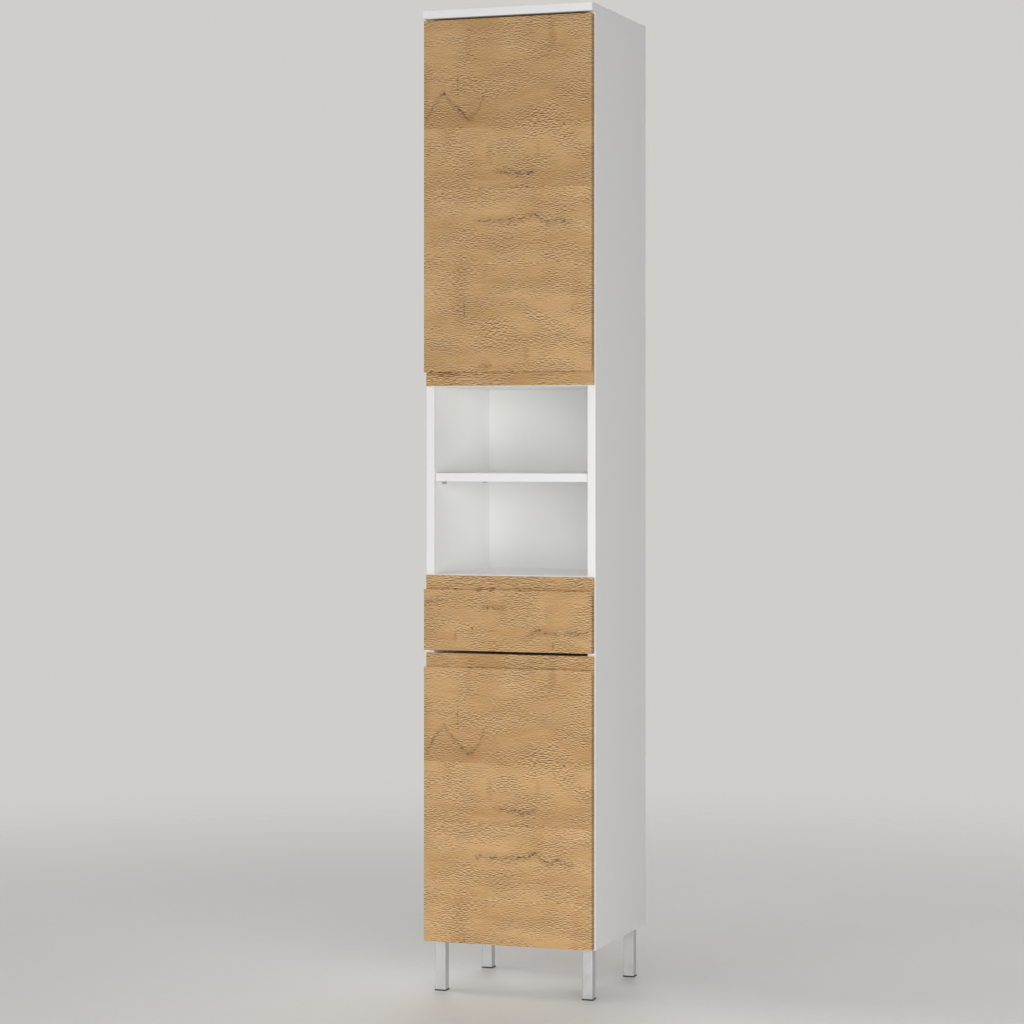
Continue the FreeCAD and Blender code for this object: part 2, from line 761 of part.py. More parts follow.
def carcass():
    side_panel("side_left", -1)
    side_panel("side_right", 1)
    top_panel()
    fixed_panel("bottom_panel", "leg_height")
    fixed_panel("drawer_divider", "divider_bottom")
    fixed_panel("open_bottom_panel", "open_floor_bottom")
    fixed_panel("open_top_panel", "open_roof_bottom")
    loose_shelf("open_shelf", "open_shelf_bottom", "open_shelf_setback")
    loose_shelf("upper_shelf_low", "low_shelf_bottom", "shelf_setback")
    loose_shelf("upper_shelf_high", "high_shelf_bottom", "shelf_setback")
    loose_shelf("lower_shelf", "lower_shelf_bottom", "shelf_setback")
    back_panel()


def fronts():
    door("upper_door", "upper_door_bottom", "upper_door_top", False, HINGES["upper"])
    door("lower_door", "lower_door_bottom", "lower_door_top", True, HINGES["lower"])


def drawer():
    drawer_front()
    mirrored(drawer_side(), "drawer_side_left")
    drawer_back()
    drawer_bottom()


carcass()
shelf_pins("open_shelf_pins", OPEN_SHELVES)
shelf_pins("cupboard_shelf_pins", CUPBOARD_SHELVES)
wall_bracket()
legs_and_glides()
fronts()
hinges()
drawer()
runners()
doc.recompute()

os.makedirs("parts", exist_ok=True)
for thing in doc.Objects:
    if "Invalid" in thing.State or "Error" in thing.State:
        raise RuntimeError("%s (%s) did not compute" % (thing.Label, thing.Name))
for thing in NODES:
    if thing.Shape.isNull() or not thing.Shape.isValid():
        raise RuntimeError("%s has no valid shape" % thing.Label)
    thing.Shape.exportStep("parts/%s.step" % thing.Label)
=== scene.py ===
import json
import math
import random

import bmesh
import bpy
from mathutils import Matrix, Vector


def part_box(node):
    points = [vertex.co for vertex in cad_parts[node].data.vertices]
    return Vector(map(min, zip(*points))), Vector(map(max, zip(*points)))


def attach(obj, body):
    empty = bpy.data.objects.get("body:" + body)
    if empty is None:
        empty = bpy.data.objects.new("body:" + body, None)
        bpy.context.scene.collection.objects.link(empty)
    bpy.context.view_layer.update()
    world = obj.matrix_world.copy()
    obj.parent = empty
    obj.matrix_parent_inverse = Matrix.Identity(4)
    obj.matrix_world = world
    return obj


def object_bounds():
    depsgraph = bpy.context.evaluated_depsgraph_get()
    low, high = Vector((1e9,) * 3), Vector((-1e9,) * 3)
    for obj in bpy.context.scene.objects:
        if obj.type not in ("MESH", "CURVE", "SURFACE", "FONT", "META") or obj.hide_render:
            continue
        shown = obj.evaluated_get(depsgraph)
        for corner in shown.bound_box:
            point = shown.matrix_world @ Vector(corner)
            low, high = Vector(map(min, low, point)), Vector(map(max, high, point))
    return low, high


# Tall bathroom cabinet, in metres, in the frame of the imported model: X to the right, Y to the back,
# Z up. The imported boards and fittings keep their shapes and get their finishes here; the screws,
# cover caps and other small trim are modelled here.
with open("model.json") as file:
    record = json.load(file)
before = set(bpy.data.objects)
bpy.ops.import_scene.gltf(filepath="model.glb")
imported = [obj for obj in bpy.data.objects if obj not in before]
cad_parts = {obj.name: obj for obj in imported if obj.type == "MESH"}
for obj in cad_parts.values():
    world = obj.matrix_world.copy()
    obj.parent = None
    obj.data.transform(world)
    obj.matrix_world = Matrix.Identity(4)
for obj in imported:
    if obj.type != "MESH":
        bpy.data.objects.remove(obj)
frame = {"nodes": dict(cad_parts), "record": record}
CAD_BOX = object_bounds()


# ---------------------------------------------------------------- node helper

# the sockets of a Mix node that carry colours
MIX_FIRST, MIX_SECOND, MIX_RESULT = 6, 7, 2

# how far the rounded and the true normal agree where an edge's rubbing and painted highlight start, and
# where they are full
EDGE_MARK_STARTS, EDGE_MARK_FULL = 0.99, 0.80


class Finish:
    """One material. What computes something gives back the socket that carries the result."""

    def __init__(self, name, roughness, metallic=0.0, specular=0.5):
        self.material = bpy.data.materials.new(name)
        self.material.use_nodes = True
        self.nodes = self.material.node_tree.nodes
        self.shader = self.nodes["Principled BSDF"]
        self.shader.inputs["Roughness"].default_value = roughness
        self.shader.inputs["Metallic"].default_value = metallic
        self.shader.inputs["Specular IOR Level"].default_value = specular
        coordinates = self.add("ShaderNodeTexCoord")
        self.place = coordinates.outputs["Object"]
        self.normal = coordinates.outputs["Normal"]

    def add(self, kind, **settings):
        node = self.nodes.new(kind)
        for name, value in settings.items():
            setattr(node, name, value)
        return node

    def connect(self, value, socket):
        """Links the socket where the value is a socket too, and sets it otherwise."""
        if isinstance(value, bpy.types.NodeSocket):
            self.material.node_tree.links.new(value, socket)
        else:
            socket.default_value = value

    def feed(self, node, **values):
        for name, value in values.items():
            self.connect(value, node.inputs[name])
        return node

    def math(self, operation, *values, clamp=False):
        node = self.add("ShaderNodeMath", operation=operation, use_clamp=clamp)
        for k, value in enumerate(values):
            self.connect(value, node.inputs[k])
        return node.outputs[0]

    def split(self, vector):
        node = self.add("ShaderNodeSeparateXYZ")
        self.connect(vector, node.inputs[0])
        return node.outputs[0], node.outputs[1], node.outputs[2]

    def join(self, x, y, z):
        node = self.add("ShaderNodeCombineXYZ")
        for k, value in enumerate((x, y, z)):
            self.connect(value, node.inputs[k])
        return node.outputs[0]

    def scaled(self, vector, scale):
        """Stretches the vector by one number, or by one for each of x, y and z."""
        node = self.add("ShaderNodeVectorMath", operation="MULTIPLY")
        self.connect(vector, node.inputs[0])
        node.inputs[1].default_value = scale if isinstance(scale, tuple) else (scale, scale, scale)
        return node.outputs[0]

    def noise(self, vector, scale, detail=2.0, roughness=0.5):
        """Smooth noise about 0.5; the scale is how finely it repeats, per metre."""
        node = self.add("ShaderNodeTexNoise", noise_dimensions="3D")
        self.feed(node, Vector=self.scaled(vector, scale), Scale=1.0, Detail=detail, Roughness=roughness)
        return node.outputs["Fac"]

    def ramp(self, value, low, high, out_low=0.0, out_high=1.0):
        """Goes smoothly from out_low at low to out_high at high."""
        node = self.add("ShaderNodeMapRange", interpolation_type="SMOOTHSTEP")
        for k, number in enumerate((value, low, high, out_low, out_high)):
            self.connect(number, node.inputs[k])
        return node.outputs[0]

    def mix(self, share, first, second):
        node = self.add("ShaderNodeMix", data_type="RGBA")
        self.connect(share, node.inputs[0])
        self.connect(first, node.inputs[MIX_FIRST])
        self.connect(second, node.inputs[MIX_SECOND])
        return node.outputs[MIX_RESULT]

    def lay(self, base, share, strength, colour):
        """Lays a colour over the base, by its share here times its strength."""
        return self.mix(self.math("MULTIPLY", share, strength), base, colour)

    def rounded(self, radius):
        """The normal as if sharp edges were rounded by the radius."""
        return self.feed(self.add("ShaderNodeBevel", samples=4), Radius=radius).outputs[0]

    def bump(self, height, distance, strength, edge=0.0):
        """Relief from a height; edge is the radius by which sharp edges look rounded."""
        node = self.feed(self.add("ShaderNodeBump"), Height=height, Distance=distance, Strength=strength)
        if edge:
            self.feed(node, Normal=self.rounded(edge))
        self.connect(node.outputs[0], self.shader.inputs["Normal"])

    def edge_rubbing_and_highlight(self, radius):
        """Near 1 along sharp edges and 0 on flat faces."""
        flat = self.add("ShaderNodeNewGeometry")
        agree = self.add("ShaderNodeVectorMath", operation="DOT_PRODUCT")
        self.connect(self.rounded(radius), agree.inputs[0])
        self.connect(flat.outputs["Normal"], agree.inputs[1])
        return self.ramp(agree.outputs["Value"], EDGE_MARK_STARTS, EDGE_MARK_FULL)

    def colour(self, value):
        self.connect(value, self.shader.inputs["Base Color"])

    def roughness(self, value):
        self.connect(value, self.shader.inputs["Roughness"])


def srgb(red, green, blue):
    """A colour as it is seen, 0 to 255, in the linear values that a shader takes."""
    def linear(level):
        share = level / 255
        return share / 12.92 if share <= 0.04045 else ((share + 0.055) / 1.055) ** 2.4
    return linear(red), linear(green), linear(blue), 1.0


# ---------------------------------------------------------------- oak decor of the fronts

# where one plank of the decor gives way to the next: the height below the front's top in metres,
# how much lighter the next plank starts, and how much its upper neighbour darkens towards it
PLANKS = ((0.206, 0.12, 0.20), (0.322, 0.00, 0.24), (0.464, -0.04, 0.14))

# a plank darkens from the first to the second of these heights above its foot
DARKENING = (0.075, 0.012)

# how far apart the grain of two planks is taken from the noise
PLANK_SHIFT = 3.7

# the figure bulges upwards round these spots: x, height below the top, width, height and rise
BULGES = ((0.085, 0.150, 0.070, 0.055, 0.017), (0.006, 0.560, 0.066, 0.045, 0.018),
          (-0.150, 0.420, 0.060, 0.050, 0.008))

# cracks as points (x, height below the front's top) in millimetres, left to right
DOOR_CRACKS = (
    ((-168, 190), (-158, 182), (-147, 158), (-127, 138), (-119, 150), (-99, 170), (-78, 190),
     (-66, 184), (-54, 166), (-44, 140), (-40, 134)),
    ((-28, 290), (6, 294), (34, 298), (64, 291)),
    ((-70, 384), (-38, 383), (-4, 384), (30, 382), (54, 374), (68, 381), (84, 391), (102, 383),
     (118, 389), (137, 394)),
    ((-60, 660), (-46, 658), (-30, 658)),
)
DRAWER_CRACKS = (
    ((34, 124), (48, 109), (60, 102), (68, 101), (84, 105), (106, 109)),
    ((112, 106), (124, 104), (150, 105), (168, 103)),
    ((-54, 58), (-40, 57), (-22, 59), (-4, 61)),
    ((-168, 50), (-150, 48), (-130, 46)),
)

# upright marks: x, from and to below the front's top, half width, in millimetres, and depth of tone
# the last door mark, where the upper door's lip overhangs its grip, is a painted shadow
DOOR_MARKS = ((89, 2, 60, 11, 0.28), (-35, 236, 270, 10, 0.24), (62, 236, 270, 9, 0.18),
              (-99, 104, 142, 1.8, 0.90), (-86, 540, 563, 2.6, 0.95), (-94, 470, 580, 20, 0.24),
              (38, 620, 648, 10, 0.24), (146, 474, 524, 28, 0.22), (4, 24, 66, 20, -0.18),
              (-128, 668, 678, 44, 0.80))
DRAWER_MARKS = ((92, 126, 134, 3, 1.10), (-70, 96, 102, 4, 0.80), (-104, 108, 122, 6, 0.40),
                (66, 44, 92, 14, -0.16), (-58, 22, 29, 9, 1.20), (-33, 22, 29, 9, 1.20))
MILLIMETRES = 1000

# a crack wavers by this much to either side, is this wide at its thinnest and thickest, and is
# darkened round about as far and as much as this
WAVER = 0.013
CRACK_WIDTH = (0.0016, 0.0044)
HALO_REACH, HALO_DEPTH = 0.013, 0.20

# cracks and marks fade at their ends over a third of their length, but no further than this
LONGEST_FADE = 0.014

# how finely each layer repeats along x, y and z, per metre
WAVER_SCALE = (110, 30, 110)
WIDTH_SCALE = (60, 20, 60)
BREAK_SCALE = (120, 40, 200)
SWAY_SCALE = (9, 1, 20)
CLOUD_SCALE = (10, 10, 24)
STREAK_SCALE = (14, 14, 120)
EMBOSS_SCALE = (135, 60, 620)
PATCH_SCALE = (15, 15, 30)
FLECK_SCALE = (34, 1, 12)

# how far the figure sways up and down
SWAY_RISE = 0.009

# the emboss is the noise here less the noise this far below: where it goes from flat to full, either
# way, and how little and how much of it the patches let through
EMBOSS_STEP = 0.0012
EMBOSS_FLAT, EMBOSS_FULL = 0.03, 0.22
PATCHES = (0.26, 1.0)

# the wood's darkest and lightest tone, then what is laid over it: strength and colour
OAK_DARK, OAK_LIGHT = srgb(178, 136, 84), srgb(216, 176, 124)
OAK_FLECK = (0.30, srgb(178, 122, 68))
# the darkest marks take this: knots, and the painted shadow under the upper door's lip
OAK_KNOTS_AND_LIP_SHADOW = (0.80, srgb(92, 62, 34))
# the emboss's two sides: dark pores that are partly painted shade, then a painted highlight
OAK_PORE_AND_EMBOSS_SHADE = (0.90, srgb(100, 66, 28))
OAK_EMBOSS_HIGHLIGHT = (0.72, srgb(240, 207, 162))
OAK_CRACK = (0.92, srgb(72, 48, 28))
# painted shade on the fronts' upright edges, as though they faced away from the light
OAK_PAINTED_SIDE_SHADE = (0.30, srgb(146, 102, 58))
# a painted highlight along sharp edges, with some rubbing
OAK_EDGE_RUBBING_AND_HIGHLIGHT = (0.25, srgb(212, 180, 136))


def end_fade(start, end):
    return min((end - start) / 3, LONGEST_FADE)


def crack_line(oak, x, points):
    """The crack's height below the front's top at this x, from point to point."""
    near, far = points[0][0], points[-1][0]
    shallow = min(depth for place, depth in points)
    span = max(max(depth for place, depth in points) - shallow, 1)
    line = oak.add("ShaderNodeFloatCurve")
    curve = line.mapping.curves[0]
    spots = [((place - near) / (far - near), (depth - shallow) / span) for place, depth in points]
    curve.points[0].location = spots[0]
    curve.points[1].location = spots[-1]
    for spot in spots[1:-1]:
        curve.points.new(*spot)
    for point in curve.points:
        point.handle_type = "VECTOR"
    line.mapping.update()
    from_start = oak.math("SUBTRACT", x, near / MILLIMETRES)
    oak.feed(line, Value=oak.math("DIVIDE", from_start, (far - near) / MILLIMETRES))
    return oak.math("MULTIPLY_ADD", line.outputs[0], span / MILLIMETRES, shallow / MILLIMETRES)


def crack(oak, x, drop, points):
    """A wavy crack that follows the points, broken up along its length, with a soft dark halo."""
    near, far = points[0][0] / MILLIMETRES, points[-1][0] / MILLIMETRES
    waver = oak.math("MULTIPLY_ADD", oak.noise(oak.place, WAVER_SCALE, detail=3.0, roughness=0.7),
                     2 * WAVER, -WAVER)
    from_line = oak.math("SUBTRACT", drop, crack_line(oak, x, points))
    away = oak.math("ABSOLUTE", oak.math("ADD", from_line, waver))
    width = oak.ramp(oak.noise(oak.place, WIDTH_SCALE), 0.35, 0.65, *CRACK_WIDTH)
    thin = oak.math("SUBTRACT", 1.0, oak.math("DIVIDE", away, width), clamp=True)
    broken = oak.ramp(oak.noise(oak.place, BREAK_SCALE), 0.42, 0.58, 0.10, 1.0)
    halo = oak.ramp(away, 0.0, HALO_REACH, HALO_DEPTH, 0.0)
    fade = end_fade(near, far)
    inside = oak.math("MULTIPLY", oak.ramp(x, near - fade / 2, near + fade),
                      oak.ramp(x, far + fade / 2, far - fade))
    depth = oak.math("MAXIMUM", oak.math("MULTIPLY", thin, broken), halo)
    return oak.math("MULTIPLY", depth, inside)


def mark(oak, x, drop, place, start, end, half_width, depth):
    """How much one upright mark adds here, fading out all round."""
    start, end = start / MILLIMETRES, end / MILLIMETRES
    side = oak.math("ABSOLUTE", oak.math("SUBTRACT", x, place / MILLIMETRES))
    across = oak.ramp(side, 0.0, half_width / MILLIMETRES, depth, 0.0)
    fade = end_fade(start, end)
    along = oak.math("MULTIPLY", oak.ramp(drop, start - fade, start + fade),
                     oak.ramp(drop, end + fade, end - fade))
    return oak.math("MULTIPLY", across, along)


def bulge(oak, x, drop, place, level, width, height, rise):
    """How far the figure is lifted here by one bulge."""
    across = oak.math("POWER", oak.math("DIVIDE", oak.math("SUBTRACT", x, place), width), 2.0)
    up = oak.math("POWER", oak.math("DIVIDE", oak.math("SUBTRACT", drop, level), height), 2.0)
    away = oak.math("MULTIPLY", -1.0, oak.math("ADD", across, up))
    return oak.math("MULTIPLY", rise, oak.math("EXPONENT", away))


def planks(oak, drop):
    """Which plank this is, counted from the top, and what it adds to the shade."""
    plank = 0.0
    tone = 0.0
    for height, step, fall in PLANKS:
        below = oak.math("GREATER_THAN", drop, height)
        plank = oak.math("ADD", plank, below)
        foot = oak.ramp(drop, height - DARKENING[0], height - DARKENING[1], 0.0, fall)
        foot = oak.math("MULTIPLY", foot, oak.math("SUBTRACT", 1.0, below))
        tone = oak.math("SUBTRACT", oak.math("MULTIPLY_ADD", below, step, tone), foot)
    return plank, tone


def oak_decor(name, top, cracks, marks, shift):
    """Matt printed oak with the grain across, laid out from the top of its front. The shift takes
    the grain from another place in the noise."""
    oak = Finish(name, roughness=0.55, specular=0.30)
    x, y, z = oak.split(oak.place)
    drop = oak.math("SUBTRACT", top, z)
    plank, tone = planks(oak, drop)
    row = oak.math("MULTIPLY_ADD", plank, PLANK_SHIFT, shift)
    flat = oak.join(x, row, drop)
    level = oak.math("MULTIPLY_ADD", oak.noise(flat, SWAY_SCALE), SWAY_RISE, drop)
    for place in BULGES:
        level = oak.math("ADD", level, bulge(oak, x, drop, *place))
    depth = oak.math("ADD", y, row)
    grain = oak.join(x, depth, level)
    lower = oak.join(x, depth, oak.math("ADD", level, EMBOSS_STEP))

    cloud = oak.noise(grain, CLOUD_SCALE, detail=3.0)
    streak = oak.noise(grain, STREAK_SCALE, detail=3.0, roughness=0.6)
    fine = oak.noise(grain, EMBOSS_SCALE, detail=0.0)
    relief = oak.math("SUBTRACT", fine, oak.noise(lower, EMBOSS_SCALE, detail=0.0))
    patch = oak.ramp(oak.noise(grain, PATCH_SCALE, detail=1.5), 0.36, 0.60, *PATCHES)
    # the emboss's two sides are painted in: dark pores, partly painted shade, and a painted highlight
    pore_and_emboss_shade = oak.math("MULTIPLY", oak.ramp(relief, -EMBOSS_FLAT, -EMBOSS_FULL), patch)
    emboss_highlight = oak.math("MULTIPLY", oak.ramp(relief, EMBOSS_FLAT, EMBOSS_FULL), patch)
    fleck = oak.ramp(oak.noise(flat, FLECK_SCALE, detail=1.0), 0.60, 0.78)
    # the marks; the upper door's last one is a painted shadow under its lip
    marks_and_lip_shadow = 0.0
    for place in marks:
        marks_and_lip_shadow = oak.math("ADD", marks_and_lip_shadow, mark(oak, x, drop, *place))
    split = 0.0
    for points in cracks:
        split = oak.math("MAXIMUM", split, crack(oak, x, drop, points))
    # painted shade: the upright edges are darkened as though they faced away from the light
    painted_side_shade = oak.ramp(oak.math("ABSOLUTE", oak.split(oak.normal)[0]), 0.6, 0.8)

    shade = oak.math("MULTIPLY_ADD", oak.math("SUBTRACT", cloud, 0.5), 0.9, 0.50)
    shade = oak.math("ADD", shade, tone)
    shade = oak.math("MULTIPLY_ADD", oak.math("SUBTRACT", streak, 0.5), 0.5, shade)
    shade = oak.math("SUBTRACT", shade, marks_and_lip_shadow)
    wood = oak.mix(oak.ramp(shade, 0.0, 1.0), OAK_DARK, OAK_LIGHT)
    wood = oak.lay(wood, fleck, *OAK_FLECK)
    wood = oak.lay(wood, oak.ramp(marks_and_lip_shadow, 0.45, 1.0), *OAK_KNOTS_AND_LIP_SHADOW)
    wood = oak.lay(wood, pore_and_emboss_shade, *OAK_PORE_AND_EMBOSS_SHADE)
    wood = oak.lay(wood, emboss_highlight, *OAK_EMBOSS_HIGHLIGHT)
    wood = oak.lay(wood, split, *OAK_CRACK)
    wood = oak.lay(wood, painted_side_shade, *OAK_PAINTED_SIDE_SHADE)
    # painted highlight along sharp edges, with some rubbing
    wood = oak.lay(wood, oak.edge_rubbing_and_highlight(0.0008), *OAK_EDGE_RUBBING_AND_HIGHLIGHT)
    oak.colour(wood)
    oak.roughness(oak.ramp(fine, 0.35, 0.65, 0.62, 0.50))
    hollow = oak.math("MAXIMUM", pore_and_emboss_shade, split)
    oak.bump(oak.math("SUBTRACT", emboss_highlight, hollow), 0.00025, 0.5, edge=0.0006)
    return oak.material


# ---------------------------------------------------------------- other finishes

# raw chipboard shows on faces that look back and lie this close to the cabinet's rear
REAR = CAD_BOX[1][1]
REAR_MARGIN = 0.0005


def white_melamine():
    """Satin white foil on chipboard; the boards' rear edges are left raw."""
    white = Finish("white_melamine", roughness=0.42, specular=0.45)
    cloud = white.noise(white.place, 3)
    foil = white.mix(cloud, srgb(243, 243, 242), srgb(247, 247, 246))
    scuff = white.ramp(white.noise(white.place, (18, 18, 160), detail=4.0), 0.66, 0.80)
    foil = white.lay(foil, scuff, 0.05, srgb(205, 204, 200))
    # a painted highlight along sharp edges, with a little rubbing
    foil = white.lay(foil, white.edge_rubbing_and_highlight(0.0007), 0.30, srgb(250, 250, 249))
    chips = white.add("ShaderNodeTexVoronoi", feature="F1")
    white.feed(chips, Vector=white.scaled(white.place, (240, 240, 520)), Scale=1.0)
    flake = white.noise(white.place, (300, 300, 900), detail=3.0)
    raw = white.mix(chips.outputs["Distance"], srgb(150, 122, 88), srgb(206, 182, 146))
    raw = white.mix(white.ramp(flake, 0.55, 0.75), raw, srgb(120, 94, 64))
    behind = white.math("GREATER_THAN", white.split(white.place)[1], REAR - REAR_MARGIN)
    looks_back = white.math("GREATER_THAN", white.split(white.normal)[1], 0.8)
    bare = white.math("MULTIPLY", behind, looks_back)
    white.colour(white.mix(bare, foil, raw))
    white.roughness(white.math("ADD", white.ramp(scuff, 0.0, 1.0, 0.40, 0.48),
                               white.math("MULTIPLY", bare, 0.4)))
    peel = white.noise(white.place, 900)
    rough = white.math("MULTIPLY_ADD", white.math("MULTIPLY", flake, bare), 6.0, peel)
    white.bump(rough, 0.00004, 0.5, edge=0.0006)
    return white.material


def white_back():
    """Thin hardboard: white lacquer in front, bare brown fibre behind and on the lower edge."""
    board = Finish("white_back", roughness=0.5, specular=0.4)
    fibre = board.noise(board.place, 420, detail=4.0, roughness=0.65)
    cloud = board.noise(board.place, 6, detail=3.0)
    lacquer = board.mix(cloud, srgb(241, 241, 240), srgb(246, 246, 245))
    brown = board.mix(fibre, srgb(112, 80, 50), srgb(158, 120, 80))
    brown = board.lay(brown, board.ramp(cloud, 0.35, 0.65), 0.35, srgb(120, 88, 58))
    back, up = board.split(board.normal)[1:]
    bare = board.math("MAXIMUM", board.math("GREATER_THAN", back, 0.5),
                      board.math("LESS_THAN", up, -0.5))
    board.colour(board.mix(bare, lacquer, brown))
    board.roughness(board.math("MULTIPLY_ADD", bare, 0.35, 0.42))
    board.bump(fibre, 0.0001, board.math("MULTIPLY_ADD", bare, 0.7, 0.08))
    return board.material


def metal(name, dark, light, roughness, grain, metallic):
    """Plated or cast metal with fine drawn lines and a painted highlight along the edges."""
    part = Finish(name, roughness=roughness, metallic=metallic)
    lines = part.noise(part.place, grain, detail=3.0, roughness=0.6)
    cloud = part.noise(part.place, 60)
    share = part.math("MULTIPLY_ADD", lines, 0.5, part.math("MULTIPLY", cloud, 0.5))
    tone = part.mix(share, srgb(*dark), srgb(*light))
    # the near-white edges are a painted highlight
    part.colour(part.lay(tone, part.edge_rubbing_and_highlight(0.0006), 0.5, srgb(236, 236, 236)))
    part.roughness(part.ramp(cloud, 0.3, 0.7, roughness - 0.06, roughness + 0.08))
    part.bump(lines, 0.00003, 0.5, edge=0.0004)
    return part.material


def coated(name, dark, light, roughness, rubbing_and_highlight_tone):
    """Powder coat or moulded plastic: fine orange peel, faint clouds and rubbed edges; a lighter edge tone
    is partly a painted highlight.
    """
    part = Finish(name, roughness=roughness)
    peel = part.noise(part.place, 700)
    cloud = part.noise(part.place, 14, detail=3.0)
    tone = part.mix(cloud, srgb(*dark), srgb(*light))
    # edges take their own tone: rubbing, and where it is lighter partly a painted highlight
    part.colour(part.lay(tone, part.edge_rubbing_and_highlight(0.0006), 0.4, srgb(*rubbing_and_highlight_tone)))
    part.roughness(part.ramp(peel, 0.3, 0.7, roughness - 0.05, roughness + 0.07))
    part.bump(peel, 0.00006, 0.5, edge=0.0004)
    return part.material


def clear_rubber():
    """Soft, milky clear plastic."""
    part = Finish("clear_rubber", roughness=0.25)
    part.shader.inputs["Transmission Weight"].default_value = 0.6
    part.shader.inputs["IOR"].default_value = 1.45
    cloud = part.noise(part.place, 300)
    part.colour(part.mix(cloud, srgb(214, 218, 218), srgb(232, 235, 235)))
    part.roughness(part.ramp(cloud, 0.3, 0.7, 0.18, 0.34))
    part.bump(cloud, 0.00005, 0.5)
    return part.material


# metals: darker and lighter tone, roughness, scale of the drawn lines, and how metallic
METALS = {
    "steel": ((168, 169, 172), (204, 205, 208), 0.34, (900, 900, 120), 1.0),
    "hinge_nickel": ((176, 174, 168), (212, 210, 204), 0.28, (160, 900, 900), 1.0),
    "leg_metal": ((196, 197, 198), (212, 213, 213), 0.38, (1200, 1200, 60), 0.80),
}

# coatings and plastics: darker and lighter tone, roughness, and the tone of rubbed edges, partly a painted
# highlight where lighter
COATINGS = {
    "rail_white": ((222, 222, 219), (232, 232, 230), 0.42, (196, 197, 198)),
    "black_plastic": ((22, 22, 23), (34, 34, 35), 0.55, (70, 70, 70)),
    "roller_nylon": ((214, 213, 206), (228, 227, 221), 0.38, (238, 238, 234)),
}

# the material of each slot in the record, except the oak, which differs from front to front
FINISH = {"white_melamine": white_melamine(), "white_back": white_back()}
FINISH.update({slot: metal(slot, *look) for slot, look in METALS.items()})
FINISH.update({slot: coated(slot, *look) for slot, look in COATINGS.items()})
OAK = {
    "upper_door": oak_decor("oak_upper_door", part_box("upper_door")[1].z,
                            DOOR_CRACKS, DOOR_MARKS, shift=0.0),
    "lower_door": oak_decor("oak_lower_door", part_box("lower_door")[1].z,
                            DOOR_CRACKS, DOOR_MARKS, shift=0.0),
    "drawer_front": oak_decor("oak_drawer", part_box("drawer_front")[1].z,
                              DRAWER_CRACKS, DRAWER_MARKS, shift=11.3),
}
CLEAR = clear_rubber()


def paint(piece, material):
    for slot in piece.material_slots:
        slot.material = material


for part in frame["record"]["subparts"]:
    label = part["node"]
    paint(frame["nodes"][label], OAK.get(label) or FINISH[part["material_slot"]])


# ---------------------------------------------------------------- small trim in mesh code

# a screw head's rim, as shares of its radius and height, from the flat down to the foot
HEAD_RIM = ((0.82, 1.0), (0.95, 0.80), (1.0, 0.45), (1.0, 0.0))
HEAD_STEPS = 24

# its cross recess: an arm as a share of the head's radius, half its width as a share of the arm, the
# recess's floor as a share of its mouth, and the floor's level as a share of the head's height
CROSS_ARM, CROSS_HALF_WIDTH, CROSS_TAPER, CROSS_FLOOR = 0.55, 0.22, 0.6, 0.25

# a cover cap's outline: a shallow dimple, a rounded rim and a flat foot
CAP_RADIUS, CAP_HEIGHT = 0.0085, 0.0010
CAP_OUTLINE = [(CAP_RADIUS * share, CAP_HEIGHT * level) for share, level in (
    (0.0, 0.72), (0.55, 0.80), (0.80, 1.0), (0.93, 0.88), (1.0, 0.45), (1.0, 0.0), (0.0, 0.0))]

# the outlines of a bumper and of a nail head, radius and height, from the top down
BUMPER_OUTLINE = ((0.0, 0.0017), (0.0014, 0.0016), (0.0028, 0.0012), (0.0037, 0.0006),
                  (0.0040, 0.0), (0.0, 0.0))
NAIL_OUTLINE = ((0.0, 0.0006), (0.0012, 0.0005), (0.0017, 0.0002), (0.0017, 0.0), (0.0, 0.0))

SMOOTH_UP_TO = math.radians(40)
SPIN = random.Random(7)


def ring(mesh, place, radius, height, steps):
    """Points in a ring round local Z, or one point on it where the radius is nothing."""
    if radius == 0:
        return [mesh.verts.new(place @ Vector((0, 0, height)))]
    turns = [2 * math.pi * k / steps for k in range(steps)]
    return [mesh.verts.new(place @ Vector((radius * math.cos(turn), radius * math.sin(turn), height)))
            for turn in turns]


def band(mesh, low, high):
    """Faces between two rings, one of which may be a single point."""
    steps = max(len(low), len(high))
    for k in range(steps):
        following = (k + 1) % steps
        corners = (low[k % len(low)], low[following % len(low)],
                   high[following % len(high)], high[k % len(high)])
        mesh.faces.new(list(dict.fromkeys(corners)))


def turned(mesh, outline, place, steps=28):
    """Adds a solid of revolution about local Z; outline is (radius, height) from axis to axis."""
    rings = [ring(mesh, place, radius, height, steps) for radius, height in outline]
    for low, high in zip(rings, rings[1:]):
        band(mesh, low, high)


def edges_round(mesh, points):
    return [mesh.edges.get(pair) for pair in zip(points, points[1:] + points[:1])]


def crossed_head(mesh, place, radius, height):
    """A screw head with a cross recess: a rounded rim round a flat with the cross sunk in it."""
    arm = radius * CROSS_ARM
    half = arm * CROSS_HALF_WIDTH
    cross = [(arm, half), (half, half), (half, arm)]
    for quarter in range(3):
        cross += [(-y, x) for x, y in cross[-3:]]
    mouth = [mesh.verts.new(place @ Vector((x, y, height))) for x, y in cross]
    floor = [mesh.verts.new(place @ Vector((x * CROSS_TAPER, y * CROSS_TAPER, height * CROSS_FLOOR)))
             for x, y in cross]
    rings = [ring(mesh, place, radius * share, height * level, HEAD_STEPS) for share, level in HEAD_RIM]
    for inner, outer in zip(rings, rings[1:]):
        band(mesh, inner, outer)
    band(mesh, mouth, floor)
    mesh.faces.new(floor)
    mesh.faces.new(rings[-1])
    bmesh.ops.triangle_fill(mesh, use_beauty=True, use_dissolve=False,
                            edges=edges_round(mesh, rings[0]) + edges_round(mesh, mouth))


